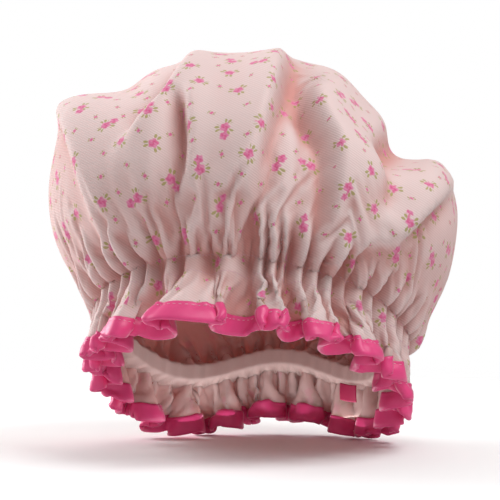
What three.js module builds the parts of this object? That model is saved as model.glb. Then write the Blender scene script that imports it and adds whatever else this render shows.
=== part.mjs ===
// A gathered cloth shower cap as it sits on a head: a printed shell and a waterproof lining cut as
// one round of cloth each, drawn in by an elastic band and finished with a ruffled, bound frill.
// Millimetres, +Z up, brow towards -Y. The origin is the middle of the head opening.

import * as THREE from 'three';

// Head opening, inside the elastic band
const OPENING_WIDTH = 158;
const OPENING_LENGTH = 196;
const OPENING_TILT_DEG = 25;
const NAPE_RISE = 24;

// Crown, from the band to its top
const CROWN_HEIGHT = 168;
const CROWN_SWAY = 14;
const CROWN_LEAN = 52;
const BROW_PUFF = 44;
const RIGHT_EAR_PUFF = 56;
const LEFT_EAR_PUFF = 62;
const NAPE_PUFF = 84;
const BROW_REACH = 150;
const RIGHT_EAR_REACH = 140;
const LEFT_EAR_REACH = 128;
const NAPE_REACH = 92;
const PUFF_RISE = 40;
const BACK_FOLD_DEPTH = 5;

// Frill, below the band
const FRILL_LENGTH = 33;
const BROW_FLARE = 14;
const EAR_FLARE = 1;
const GATHER_DEPTH = 2.5;
const RUFFLE_DEPTH = 9;

// Cloth, tape and thread
const CLOTH_THICKNESS = 0.5;
const LINING_THICKNESS = 0.4;
const BINDING_WIDTH = 11;
const BINDING_THICKNESS = 0.5;
const HEM_TUCK = 1.2;
const THREAD_DIAMETER = 0.5;
const STITCH_INSET = 0.6;
const ELASTIC_WIDTH = 8;
const ELASTIC_THICKNESS = 1;
const ELASTIC_LAP_COLUMNS = 2;
const CASING_THICKNESS = 0.5;
const STITCH_MARGIN = 2;
const SEAM_ALLOWANCE = 1.5;
const LABEL_DROP = 11;
const LABEL_THICKNESS = 0.4;
const LABEL_COLUMNS = 2;
const CLEARANCE = 0.3;
const BEND_ALLOWANCE = 0.3;

// Main folds of the front of the crown as they are seen from the brow, in millimetres across and up. Each
// line runs from the top down, and its left and right sides have their own widths and heights.
const FOLD_LINES = [
  { line: [[-112, 140], [-98, 91], [-88, 64], [-76, 28]], widths: [8, 13], heights: [9, 9] },
  { line: [[-36, 170], [-52, 152], [-68, 132]], widths: [9, 15], heights: [-10, 8] },
  { line: [[-43, 139], [-43, 122], [-44, 84], [-37, 56]], widths: [7, 4], heights: [-11, -8] },
  { line: [[-37, 140], [-34, 122], [-37, 84], [-29, 56]], widths: [4, 10], heights: [5, 5] },
  { line: [[18, 173], [9, 144], [-1, 110], [-8, 78], [-13, 61]], widths: [14, 6], heights: [9, 9] },
  { line: [[23, 157], [14, 124], [6, 88], [-1, 67]], widths: [6, 8], heights: [-8, -8] },
  { line: [[32, 157], [34, 124], [30, 82]], widths: [10, 10], heights: [-7, -7] },
  { line: [[36, 142], [46, 121], [48, 106], [46, 83], [43, 52]], widths: [6, 15], heights: [-11, 10] },
  { line: [[110, 106], [100, 87], [91, 69], [83, 53]], widths: [7, 8], heights: [8, 8] },
  { line: [[89, 118], [88, 100], [84, 82]], widths: [7, 8], heights: [-8, -8] },
  { line: [[90, 70], [77, 59], [56, 53], [44, 48]], widths: [8, 6], heights: [8, -8] },
];
// Round swellings and hollows of the crown, seen the same way
const MOUNDS = [
  { across: 68, up: 106, radius: 22, height: 6 },
  { across: 94, up: 130, radius: 18, height: -13 },
  { across: 116, up: 79, radius: 20, height: 4 },
  { across: -112, up: 137, radius: 18, height: 9 },
  { across: -67, up: 100, radius: 18, height: 5 },
];
// Plainer folds round the back: how many go round the head, where they start, how they wander, and their
// share of the depth
const BACK_WAVES = [
  { count: 9, start: 0, wander: 2.1, wanderCount: 2, share: 1 },
  { count: 14, start: 1.3, wander: 1.5, wanderCount: 3, share: 0.6 },
];
// Where the folds are seen from, how soft a crease is, and how tall folds grow where they meet
const SEEN_FROM_DEG = 12;
const SEEN_DISTANCE = 1400;
const SEEN_HEIGHT = 52;
const CREASE_WIDTH = 5;
const RELIEF_LIMIT = 11;

// Ruffles of the frill: where the crest of each leaves the band, in degrees from the brow towards +X, and
// its relative depth
const RUFFLES = [
  { crest: -80, depth: 0.8 },
  { crest: -63, depth: 1.0 },
  { crest: -45, depth: 0.9 },
  { crest: -28, depth: 1.0 },
  { crest: -10, depth: 1.0 },
  { crest: 8, depth: 0.8 },
  { crest: 23, depth: 0.8 },
  { crest: 39, depth: 1.0 },
  { crest: 57, depth: 0.9 },
  { crest: 75, depth: 1.0 },
  { crest: 98, depth: 0.8 },
  { crest: 124, depth: 1.0 },
  { crest: 150, depth: 0.9 },
  { crest: 176, depth: 1.0 },
  { crest: 202, depth: 0.8 },
  { crest: 228, depth: 1.0 },
  { crest: 254, depth: 0.9 },
];
// One ruffle in four columns of the cloth: the share of the way to the next ruffle, and the swing of the
// flat-faced pleat that it makes
const PLEAT = [
  { share: 0, swing: 1 },
  { share: 0.32, swing: 0.8 },
  { share: 0.5, swing: -1 },
  { share: 0.82, swing: -0.8 },
];
const CROWN_STEPS = [0.8, 0.6, 0.44, 0.28, 0.12];
const LABEL_RUFFLE = 11.5;
const LAP_RUFFLE = 13;

// The stack on the band, counted outwards from the face that touches the head
const TUNNEL_HEIGHT = ELASTIC_WIDTH + 2 * STITCH_MARGIN;
const LAP_INNER = CASING_THICKNESS + CLEARANCE;
const ELASTIC_INNER = LAP_INNER + ELASTIC_THICKNESS + CLEARANCE;
const ELASTIC_OUTER = ELASTIC_INNER + ELASTIC_THICKNESS;
const LINING_STANDOFF = ELASTIC_OUTER + CLEARANCE + BEND_ALLOWANCE;
const CLOTH_STANDOFF = LINING_STANDOFF + LINING_THICKNESS + CLEARANCE + CLOTH_THICKNESS / 2;

// Offsets of each layer from the middle of the shell's cloth
const SHELL_LIFT = CLOTH_THICKNESS / 2;
const LINING_OUTER_LIFT = -SHELL_LIFT - CLEARANCE;
const LINING_INNER_LIFT = LINING_OUTER_LIFT - LINING_THICKNESS;
const BINDING_FRONT_LIFT = SHELL_LIFT + CLEARANCE;
const BINDING_BACK_LIFT = LINING_INNER_LIFT - CLEARANCE;

const COLUMN_COUNT = RUFFLES.length * PLEAT.length;
const ALL_COLUMNS = Array.from({ length: COLUMN_COUNT }, (_, column) => column);
const FULL_TURN_DEG = 360;
// How sharply the band rises towards the nape, the gathers fade above the band and the folds towards it
const NAPE_POWER = 6;
const GATHER_POWER = 6;
const FOLD_POWER = 5;
// Where the front's folds fade out on the climb to the top, and round the sides as the crown turns away
const FOLD_END = [0.6, 0.9];
const FRONT_EDGE = [-0.25, 0.15];
// The greatest value of climb * (1 - climb)^2, where the folds of the back stand tallest
const FOLD_PEAK = 4 / 27;
const UP = new THREE.Vector3(0, 0, 1);
const TILT = THREE.MathUtils.degToRad(OPENING_TILT_DEG);
const BAND_AXIS = new THREE.Vector3(0, Math.sin(TILT), Math.cos(TILT));
const SEEN_FROM = THREE.MathUtils.degToRad(SEEN_FROM_DEG);

const outward = (turn) => new THREE.Vector3(Math.sin(turn), -Math.cos(turn), 0);

// A value that is given at the brow, the ears and the nape, for any turn round the head
function roundHead(turn, brow, rightEar, leftEar, nape) {
  const facing = Math.cos(turn);
  const ear = THREE.MathUtils.lerp(rightEar, leftEar, (1 + Math.sin(turn)) / 2);
  const end = facing > 0 ? brow : nape;
  return THREE.MathUtils.lerp(ear, end, facing * facing);
}

// A point on the elastic band: lift is counted outwards from the head, axial along the band's axis.
function onBand(turn, lift, axial) {
  const halfWidth = OPENING_WIDTH / 2 + lift;
  const halfLength = OPENING_LENGTH / 2 + lift;
  const nape = Math.max(0, -Math.cos(turn));
  const point = new THREE.Vector3(
    halfWidth * Math.sin(turn),
    -halfLength * Math.cos(turn) * Math.cos(TILT),
    halfLength * Math.cos(turn) * Math.sin(TILT) + NAPE_RISE * nape ** NAPE_POWER,
  );
  return point.addScaledVector(BAND_AXIS, axial);
}

// The crown before its folds: climb is 0 at the band's upper edge and 1 at the top.
function onCrown(turn, climb) {
  const away = outward(turn);
  const start = onBand(turn, CLOTH_STANDOFF + GATHER_DEPTH, TUNNEL_HEIGHT / 2);
  const top = new THREE.Vector3(-CROWN_SWAY, CROWN_LEAN, CROWN_HEIGHT);
  const puff = roundHead(turn, BROW_PUFF, RIGHT_EAR_PUFF, LEFT_EAR_PUFF, NAPE_PUFF);
  const reach = roundHead(turn, BROW_REACH, RIGHT_EAR_REACH, LEFT_EAR_REACH, NAPE_REACH);
  const swell = start.clone().addScaledVector(away, puff).addScaledVector(UP, PUFF_RISE);
  const shoulder = top.clone().addScaledVector(away, reach);
  return new THREE.CubicBezierCurve3(start, swell, shoulder, top).getPoint(climb);
}

function crownNormal(turn, climb) {
  const step = 0.01;
  const around = onCrown(turn + step, climb).sub(onCrown(turn - step, climb));
  const up = onCrown(turn, climb + step).sub(onCrown(turn, climb - step));
  return around.cross(up).normalize();
}

// The ruffle that a column of the cloth starts from, the next one, and the column's step between them
function columnRuffle(column) {
  const index = Math.floor(column / PLEAT.length);
  const step = column % PLEAT.length;
  const next = RUFFLES[(index + 1) % RUFFLES.length];
  const wrap = index === RUFFLES.length - 1 ? FULL_TURN_DEG : 0;
  return { here: RUFFLES[index], next, wrap, step };
}

function turnBetween({ here, next, wrap }, share) {
  return THREE.MathUtils.degToRad(THREE.MathUtils.lerp(here.crest, next.crest + wrap, share));
}

// Columns lie at the corners of the pleats on the band and the frill, and evenly on the crown.
function bandTurn(column) {
  const ruffle = columnRuffle(column);
  return turnBetween(ruffle, PLEAT[ruffle.step].share);
}

function crownTurn(column) {
  const ruffle = columnRuffle(column);
  return turnBetween(ruffle, ruffle.step / PLEAT.length);
}

const columnSwing = (column) => PLEAT[column % PLEAT.length].swing;

function columnDepth(column) {
  const { here, next, step } = columnRuffle(column);
  return THREE.MathUtils.lerp(here.depth, next.depth, PLEAT[step].share);
}

// How far a seen place lies from a fold line, less than 0 on its left
function offsetFrom(line, place) {
  let nearest = { distance: Infinity, offset: 0 };
  for (let k = 1; k < line.length; k += 1) {
    const start = new THREE.Vector2(...line[k - 1]);
    const run = new THREE.Vector2(...line[k]).sub(start);
    const share = THREE.MathUtils.clamp(place.clone().sub(start).dot(run) / run.lengthSq(), 0, 1);
    const gap = place.clone().sub(start).addScaledVector(run, -share);
    const distance = gap.length();
    if (distance < nearest.distance) {
      nearest = { distance, offset: Math.sign(run.cross(gap)) * distance };
    }
  }
  return nearest.offset;
}

function foldHeight({ line, widths, heights }, place) {
  const offset = offsetFrom(line, place);
  const side = (1 + Math.tanh(offset / CREASE_WIDTH)) / 2;
  const width = offset < 0 ? widths[0] : widths[1];
  return THREE.MathUtils.lerp(heights[0], heights[1], side) * Math.exp(-((offset / width) ** 2));
}

function moundHeight({ across, up, radius, height }, place) {
  const distance = place.distanceTo(new THREE.Vector2(across, up));
  return height * Math.exp(-((distance / radius) ** 2));
}

function waveHeight({ count, start, wander, wanderCount, share }, turn) {
  return share * Math.sin(count * turn + start + wander * Math.sin(wanderCount * turn));
}

const total = (items, height) => items.reduce((sum, item) => sum + height(item), 0);

// Height of the crown's folds: those of the front as they are seen, and plainer ones round the back
function crownRelief(point, normal, turn, climb) {
  const towards = outward(SEEN_FROM);
  const across = outward(SEEN_FROM + Math.PI / 2);
  const zoom = SEEN_DISTANCE / (SEEN_DISTANCE - point.dot(towards));
  const up = SEEN_HEIGHT + (point.z - SEEN_HEIGHT) * zoom;
  const place = new THREE.Vector2(point.dot(across) * zoom, up);
  const facing = normal.dot(towards);
  const front = THREE.MathUtils.smoothstep(facing, ...FRONT_EDGE);
  const fade = climb * (1 - climb) ** 2 / FOLD_PEAK;
  const waves = total(BACK_WAVES, (wave) => waveHeight(wave, turn));
  const back = BACK_FOLD_DEPTH * waves * fade * (1 - front);
  const folds = total(FOLD_LINES, (fold) => foldHeight(fold, place));
  const mounds = total(MOUNDS, (mound) => moundHeight(mound, place));
  const seen = RELIEF_LIMIT * Math.tanh((folds + mounds) / RELIEF_LIMIT) * front;
  const ends = (1 - (1 - climb) ** FOLD_POWER) * (1 - THREE.MathUtils.smoothstep(climb, ...FOLD_END));
  return seen * ends + back;
}

// The middle of the shell's cloth, row by row from the top of the crown to the hem
function crownPoint(column, climb) {
  const turn = crownTurn(column);
  const point = onCrown(turn, climb);
  const normal = crownNormal(turn, climb);
  const gather = GATHER_DEPTH * (1 - climb) ** GATHER_POWER * columnSwing(column);
  return point.clone().addScaledVector(normal, crownRelief(point, normal, turn, climb) + gather);
}

function tunnelPoint(column, axial) {
  const lift = CLOTH_STANDOFF + GATHER_DEPTH * (1 + columnSwing(column));
  return onBand(bandTurn(column), lift, axial);
}

// A crest of the frill swings out from the band, so its hem hangs higher than that of a valley.
function frillPoint(column, length) {
  const turn = bandTurn(column);
  const share = length / FRILL_LENGTH;
  const flare = roundHead(turn, BROW_FLARE, EAR_FLARE, EAR_FLARE, EAR_FLARE);
  const stand = flare + RUFFLE_DEPTH * columnDepth(column) * columnSwing(column);
  const drop = Math.sqrt(FRILL_LENGTH ** 2 - stand ** 2);
  const lift = THREE.MathUtils.lerp(GATHER_DEPTH * columnSwing(column), stand, share);
  const start = onBand(turn, CLOTH_STANDOFF + GATHER_DEPTH, -TUNNEL_HEIGHT / 2);
  return start.addScaledVector(outward(turn), lift).addScaledVector(UP, -drop * share);
}

const ROWS = [
  () => new THREE.Vector3(-CROWN_SWAY, CROWN_LEAN, CROWN_HEIGHT),
  ...CROWN_STEPS.map((climb) => (column) => crownPoint(column, climb)),
  (column) => tunnelPoint(column, TUNNEL_HEIGHT / 2),
  (column) => tunnelPoint(column, -TUNNEL_HEIGHT / 2),
  (column) => frillPoint(column, FRILL_LENGTH - BINDING_WIDTH),
  (column) => frillPoint(column, FRILL_LENGTH),
];
const UPPER_STITCH_ROW = CROWN_STEPS.length + 1;
const LOWER_STITCH_ROW = UPPER_STITCH_ROW + 1;
const BINDING_ROW = LOWER_STITCH_ROW + 1;
const HEM_ROW = BINDING_ROW + 1;

const cloth = ROWS.map((row) => ALL_COLUMNS.map(row));

function unitBetween(from, to) {
  return to.clone().sub(from).normalize();
}

// The mean of the directions into and out of a point: shorter than 1 where the cloth bends there
function bendAt(before, here, after) {
  const inward = before ? unitBetween(before, here) : unitBetween(here, after);
  const onward = after ? unitBetween(here, after) : inward;
  return inward.clone().add(onward).multiplyScalar(0.5);
}

function downhillAt(row, column) {
  return bendAt(cloth[row - 1]?.[column], cloth[row][column], cloth[row + 1]?.[column]);
}

// The way off the cloth, lengthened at a bend so that a layer keeps its distance on both sides of it
function normalAt(row, column) {
  if (row === 0) {
    return UP.clone();
  }
  const before = cloth[row][(column + COLUMN_COUNT - 1) % COLUMN_COUNT];
  const after = cloth[row][(column + 1) % COLUMN_COUNT];
  const around = bendAt(before, cloth[row][column], after);
  const down = downhillAt(row, column);
  const miter = 1 / (around.length() * down.length());
  return down.cross(around).normalize().multiplyScalar(miter);
}

const downhills = cloth.map((points, row) => points.map((_, column) => downhillAt(row, column).normalize()));
const normals = cloth.map((points, row) => points.map((_, column) => normalAt(row, column)));

// Puts a section point on the cloth: on a row, slipped downhill and lifted off along the normal.
function onCloth({ row, slip = 0, lift }, column) {
  const point = cloth[row][column].clone();
  point.addScaledVector(downhills[row][column], slip);
  return point.addScaledVector(normals[row][column], lift);
}

const onRing = ({ lift, axial }, column) => onBand(bandTurn(column), lift, axial);

// Steps along the elastic from one end to the other. The last steps pass inside the first ones.
function onElastic({ lift, axial }, step) {
  const lapped = step > COLUMN_COUNT - ELASTIC_LAP_COLUMNS;
  const column = (LAP_RUFFLE * PLEAT.length + step) % COLUMN_COUNT;
  return onRing({ lift: lapped ? lift - ELASTIC_THICKNESS - CLEARANCE : lift, axial }, column);
}

// Hangs a section point straight down from the band's lower edge.
function onDrop({ lift, drop }, column) {
  const edge = onRing({ lift, axial: -TUNNEL_HEIGHT / 2 - SEAM_ALLOWANCE }, column);
  return edge.addScaledVector(UP, -drop);
}

// Sweeps a closed section through the columns. Quads split along the same diagonal of the cloth on
// every layer, so neighbouring layers stay parallel.
function sweep(section, place, columns, goesDown) {
  const closed = columns.length === COLUMN_COUNT;
  const size = section.length;
  const positions = columns.flatMap((column) => section.flatMap((point) => place(point, column).toArray()));
  const indices = [];
  const spans = closed ? columns.length : columns.length - 1;
  for (let span = 0; span < spans; span += 1) {
    const next = (span + 1) % columns.length;
    for (let k = 0; k < size; k += 1) {
      const l = (k + 1) % size;
      const [a, b] = [span * size + k, next * size + k];
      const [c, d] = [next * size + l, span * size + l];
      if (goesDown(section[k], section[l])) {
        indices.push(a, c, b, a, d, c);
      } else {
        indices.push(a, d, b, b, d, c);
      }
    }
  }
  if (!closed) {
    const outline = section.map((point) => new THREE.Vector2(...flatten(point)));
    const last = (columns.length - 1) * size;
    for (const [a, b, c] of THREE.ShapeUtils.triangulateShape(outline, [])) {
      indices.push(a, b, c);
      indices.push(last + a, last + c, last + b);
    }
  }
  const geometry = new THREE.BufferGeometry();
  geometry.setAttribute('position', new THREE.Float32BufferAttribute(positions, 3));
  geometry.setIndex(indices);
  return geometry;
}

// A section point as flat coordinates, for closing the ends of a short sweep
function flatten({ row, slip = 0, lift, axial, drop }) {
  if (row !== undefined) {
    return [row * BINDING_WIDTH + slip, lift];
  }
  return [drop === undefined ? -axial : drop, lift];
}

const downhill = (from, to) => flatten(to)[0] > flatten(from)[0];

// Sections, each a closed loop that runs down the outer face and back up the inner one
function layerSection(outerLift, innerLift) {
  const rows = ROWS.map((_, row) => row);
  const outer = rows.map((row) => ({ row, lift: outerLift }));
  const inner = rows.map((row) => ({ row, lift: innerLift }));
  return [...outer, ...inner.reverse()];
}

function foldedTapeSection(frontLift, backLift, thickness, inset) {
  return [
    { row: BINDING_ROW, lift: frontLift + thickness },
    { row: HEM_ROW, slip: inset + thickness, lift: frontLift + thickness },
    { row: HEM_ROW, slip: inset + thickness, lift: backLift - thickness },
    { row: BINDING_ROW, lift: backLift - thickness },
    { row: BINDING_ROW, lift: backLift },
    { row: HEM_ROW, slip: inset, lift: backLift },
    { row: HEM_ROW, slip: inset, lift: frontLift },
    { row: BINDING_ROW, lift: frontLift },
  ];
}

function threadSection(row, slip, faceLift) {
  const radius = THREAD_DIAMETER / 2;
  const middle = faceLift + CLEARANCE + radius;
  return [
    { row, slip, lift: middle + radius },
    { row, slip: slip + radius, lift: middle },
    { row, slip, lift: middle - radius },
    { row, slip: slip - radius, lift: middle },
  ];
}

function flatBandSection(innerLift, outerLift, halfWidth) {
  return [
    { lift: outerLift, axial: halfWidth },
    { lift: outerLift, axial: -halfWidth },
    { lift: innerLift, axial: -halfWidth },
    { lift: innerLift, axial: halfWidth },
  ];
}

function casingSection() {
  const edge = TUNNEL_HEIGHT / 2 + SEAM_ALLOWANCE;
  const channel = ELASTIC_WIDTH / 2 + CLEARANCE;
  return [
    { lift: ELASTIC_OUTER, axial: edge },
    { lift: ELASTIC_OUTER, axial: channel },
    { lift: CASING_THICKNESS, axial: channel },
    { lift: CASING_THICKNESS, axial: -channel },
    { lift: ELASTIC_OUTER, axial: -channel },
    { lift: ELASTIC_OUTER, axial: -edge },
    { lift: 0, axial: -edge },
    { lift: 0, axial: edge },
  ];
}

function labelSection() {
  const outer = CASING_THICKNESS + LABEL_THICKNESS;
  return [
    { lift: outer, drop: CLEARANCE },
    { lift: outer, drop: CLEARANCE + LABEL_DROP },
    { lift: CASING_THICKNESS, drop: CLEARANCE + LABEL_DROP },
    { lift: CASING_THICKNESS, drop: CLEARANCE },
  ];
}

// A run of columns that starts at a ruffle
function columnsFrom(ruffle, count) {
  return Array.from({ length: count + 1 }, (_, step) => (ruffle * PLEAT.length + step) % COLUMN_COUNT);
}

const cap = new THREE.Group();

function addPiece(name, geometry, color, roughness) {
  const material = new THREE.MeshStandardMaterial({ color, roughness, metalness: 0 });
  const mesh = new THREE.Mesh(geometry, material);
  mesh.name = name;
  cap.add(mesh);
}

const PALE_PINK = '#efd6d0';
const PALE_FILM = '#f1e4df';
const HOT_PINK = '#ea5f9a';
const THREAD_PINK = '#f6b9cf';
const WHITE_WEAVE = '#f2ecea';
const LABEL_RED = '#c4304e';

const shellLayer = layerSection(SHELL_LIFT, -SHELL_LIFT);
const liningLayer = layerSection(LINING_OUTER_LIFT, LINING_INNER_LIFT);
addPiece('outer_shell', sweep(shellLayer, onCloth, ALL_COLUMNS, downhill), PALE_PINK, 0.75);
addPiece('waterproof_lining', sweep(liningLayer, onCloth, ALL_COLUMNS, downhill), PALE_FILM, 0.4);

const tape = foldedTapeSection(BINDING_FRONT_LIFT, BINDING_BACK_LIFT, BINDING_THICKNESS, HEM_TUCK);
addPiece('hem_binding', sweep(tape, onCloth, ALL_COLUMNS, downhill), HOT_PINK, 0.35);
const elastic = flatBandSection(ELASTIC_INNER, ELASTIC_OUTER, ELASTIC_WIDTH / 2);
const elasticSteps = Array.from({ length: COLUMN_COUNT + ELASTIC_LAP_COLUMNS + 1 }, (_, step) => step);
addPiece('elastic_band', sweep(elastic, onElastic, elasticSteps, downhill), WHITE_WEAVE, 0.8);
addPiece('elastic_casing', sweep(casingSection(), onRing, ALL_COLUMNS, downhill), PALE_PINK, 0.6);

const labelColumns = columnsFrom(LABEL_RUFFLE, LABEL_COLUMNS);
addPiece('blank_label', sweep(labelSection(), onDrop, labelColumns, downhill), LABEL_RED, 0.5);

const bindingFace = BINDING_FRONT_LIFT + BINDING_THICKNESS;
const stitchRows = [
  { name: 'upper_casing_stitch', section: threadSection(UPPER_STITCH_ROW, 0, SHELL_LIFT) },
  { name: 'lower_casing_stitch', section: threadSection(LOWER_STITCH_ROW, 0, SHELL_LIFT) },
  { name: 'binding_topstitch', section: threadSection(BINDING_ROW, STITCH_INSET, bindingFace) },
];
for (const { name, section } of stitchRows) {
  addPiece(name, sweep(section, onCloth, ALL_COLUMNS, downhill), THREAD_PINK, 0.7);
}

export default cap;
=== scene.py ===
"""Gathered cloth shower cap: printed shell, waterproof lining, elastic band and bound, ruffled frill.

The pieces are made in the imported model's frame: metres, +Z up, brow towards -Y.
"""

import math
from dataclasses import dataclass

import bmesh
import bpy
import numpy as np
from mathutils import Matrix, Vector


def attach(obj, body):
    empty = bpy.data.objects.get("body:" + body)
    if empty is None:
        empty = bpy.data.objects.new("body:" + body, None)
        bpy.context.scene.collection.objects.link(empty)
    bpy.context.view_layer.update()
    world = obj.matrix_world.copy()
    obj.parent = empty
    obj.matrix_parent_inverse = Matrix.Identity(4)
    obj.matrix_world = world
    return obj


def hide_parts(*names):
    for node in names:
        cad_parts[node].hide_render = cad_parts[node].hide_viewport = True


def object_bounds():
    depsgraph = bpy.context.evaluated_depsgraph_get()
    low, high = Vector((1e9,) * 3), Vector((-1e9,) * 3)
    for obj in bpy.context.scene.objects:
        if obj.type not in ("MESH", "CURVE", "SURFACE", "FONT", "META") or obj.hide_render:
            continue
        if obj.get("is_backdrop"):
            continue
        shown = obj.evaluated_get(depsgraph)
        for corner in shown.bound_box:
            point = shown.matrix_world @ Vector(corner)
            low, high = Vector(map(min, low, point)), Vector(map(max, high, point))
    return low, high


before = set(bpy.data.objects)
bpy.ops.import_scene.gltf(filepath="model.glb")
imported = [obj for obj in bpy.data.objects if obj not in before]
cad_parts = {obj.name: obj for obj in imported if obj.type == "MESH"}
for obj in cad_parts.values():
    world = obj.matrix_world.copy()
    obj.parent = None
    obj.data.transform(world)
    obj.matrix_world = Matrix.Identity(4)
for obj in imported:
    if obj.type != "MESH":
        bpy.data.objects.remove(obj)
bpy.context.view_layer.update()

bl_info = {
    "name": "Gathered Shower Cap",
    "version": (1, 0, 0),
    "blender": (4, 5, 0),
    "location": "View3D > Sidebar > Cap",
    "description": "Builds a gathered cloth shower cap with a waterproof lining and a bound, ruffled frill",
    "category": "Add Mesh",
}

MM = 0.001
FULL_TURN = 2 * math.pi
BODY = "root"
SHELL = "shell_cloth"
LINING = "lining_film"

# How far the hem stays level, where 0 lets it swing up on the ruffles' faces. The level drop and
# the least drop are shares of the frill's depth.
LEVEL_HEM = 0.6
LEVEL_DROP = 0.88
LEAST_DROP = 0.4

# How much broader the face of a ruffle is than the recess beside it, and how flat it is.
FACE_SHARE = 0.35
FACE_FLATNESS = 1.8

# The gathers of a ruffle, in shares of its pitch: half the width of the valley where ruffles meet,
# the place of the first crease, how far and how often round the cap it wanders, the step to the second
# crease, and half a crease's width.
VALLEY_WIDTH = 0.13
CREASE_PLACE = 0.32
CREASE_WANDER = 0.06
CREASE_WAVES = 7
CREASE_STEP = 0.34
CREASE_WIDTH = 0.08

# How deep a valley and a crease cut into a gather, where 2 goes from the outermost to the innermost.
VALLEY_DEPTH = 2
CREASE_DEPTH = 1.5

# How fast the gathers die out above the band, and by how much less at the brow.
GATHER_FADE = 22
BROW_GATHER = 13

# Where the pleats above the band begin on the way down from the top, and how much higher at the brow.
PLEAT_START = 0.9
BROW_PLEAT = 0.08

# How sharply the band rises at the nape, and how late the crown's folds fade out on the way down.
NAPE_POWER = 6
FADE_POWER = 5

# Brings the peak of a curve x * (1 - x)**2 to 1.
PEAK = 27 / 4

# Steps along the dome's curve when its length is measured.
DOME_STEPS = 40

# Half the width, in millimetres, over which a fold line changes from its left height to its right one.
CREASE = 3.5

# How pointed the ridge of a fold line is, where 2 is round.
FOLD_POWER = 1.4

# How far the cloth has to face the camera, from none of a fold to all of it.
LINE_FACING = (-0.15, 0.15)
MOUND_FACING = (-0.7, -0.2)
BACK_FACING = (-0.25, 0.15)

# Where the front's folds fade out towards the top of the crown, in shares of the climb.
TOP_FADE = (0.75, 1.0)

# The waves of the back's folds: number, strength, start, and how much and how often each one wanders.
BACK_WAVES = [(9, 1.0, 0.0, 2.1, 2), (14, 0.6, 1.3, 1.5, 3)]

# How firmly the placed shape holds the crown and the frill while the cloth settles, and where the
# hold on the crown ends and over what share of the crown's cloth it grows.
CROWN_HOLD = 0.8
FRILL_HOLD = 0.4
HOLD_END = 0.95
HOLD_GROWTH = 0.3

# The cloth while it settles.
CLOTH_SETTINGS = {
    "quality": 8, "mass": 0.1, "tension_stiffness": 20, "compression_stiffness": 6, "shear_stiffness": 6,
    "bending_stiffness": 4, "tension_damping": 10, "compression_damping": 10, "shear_damping": 10,
    "bending_damping": 0.5, "air_damping": 3, "pin_stiffness": 1, "use_pressure": True,
    "uniform_pressure_force": 0.5,
}
CONTACT_SETTINGS = {
    "use_collision": False, "use_self_collision": True, "self_distance_min": 0.0016, "self_friction": 2,
}
SETTLING_GRAVITY = 0.08

# Half the distance over which the slope of the cloth is read, in cells of its grid.
SLOPE_STEP = 0.6

# The share of a stitch's pitch over which its thread lies on top.
STITCH_SHARE = 0.62

# How often the cloth is evened out to find the hollows of its folds, which get painted shade, how much
# less deep a point counts where the cloth faces up, which paints that cloth paler as if lit from above,
# and from where to where the painted shade grows, in metres.
HOLLOW_STEPS = 60
PAINTED_TOP_LIGHT = 0.004
PAINTED_SHADE_RANGE = (-0.005, 0.0045)

# Direction from one rib of the twill to the next, from where to where the ribs grow plain, and how
# strongly painted shade darkens the lines between them.
RIB_SLOPE = (0.5, 0.2, 0.84)
RIB_RANGE = (0.15, 0.6)
RIB_SHADE = 0.16

# The edge of a blossom: its scallops, and their depth and the soft rim in radii of the blossom.
SCALLOPS = 5
SCALLOP_DEPTH = 0.1
SOFT_RIM = 0.22

# The petals of a blossom: how tightly and in how many arms they wind, and how light they are by their
# winding, towards the rim and at the heart.
PETAL_WINDING = 5.0
PETAL_ARMS = 2
PETAL_LIGHT = 0.35
RIM_LIGHT = 0.5
HEART_LIGHT = 0.15

# The ring on which a motif's leaves stand and half its width, in radii of the blossom, the soft edges
# of a leaf and of a cluster of leaves, and how strongly leaves are printed.
LEAF_RING = 1.35
LEAF_SPAN = 0.5
LEAF_EDGE = (0.05, 0.35)
CLUSTER_EDGE = (-0.15, 0.2)
LEAF_STRENGTH = 0.85

# The share of the roses that stand alone, how far the second rose of a pair stands off, in radii, and
# its size beside the first one.
LONE_ROSES = 0.4
PAIR_STEP = 1.7
MATE_SIZE = 0.92

# How strongly the print shows through the lining.
FAINT_PRINT = 0.2

# The random seeds of the roses and of the buds.
ROSE_SEED = 4
BUD_SEED = 7

# How much alike the normals of a motif and of the cloth that carries it have to be.
SAME_SIDE = 0.3

# In how many goes the cloth's points are matched with the motifs, so that memory stays small.
MATCH_GOES = 40

# The lamps and their places. The power of each is a property of the stage.
LAMPS = {"top": (0.1, 0.7, 1.0), "right": (0.65, -0.35, 1.1), "left": (-1.1, 0.3, 0.38)}
LAMP_SIZE = 0.8
UNDER_LAMP_SIZE = 0.12

# The ruffles of the frill: where each one begins on the band, in degrees from the brow towards +X,
# and its relative depth.
RUFFLES = [
    (-95, 0.9), (-79, 1.0), (-62, 1.0), (-44, 0.9), (-24, 1.1), (13, 0.8), (26, 1.0), (45, 1.2),
    (64, 1.0), (82, 0.9), (100, 0.8), (117, 1.0), (134, 0.9), (152, 1.1), (169, 0.8), (186, 1.0),
    (204, 0.9), (221, 1.1), (243, 0.9),
]


@dataclass
class FoldLine:
    """A fold on the front of the crown, as the camera sees it, in millimetres across and up.

    The points run from the top down. Each side of the line has its own width and height.
    """

    points: list
    left_width: float
    right_width: float
    left_height: float
    right_height: float


@dataclass
class Mound:
    """A round swelling or dip of the crown, as the camera sees it, in millimetres."""

    across: float
    up: float
    radius: float
    height: float


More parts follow.
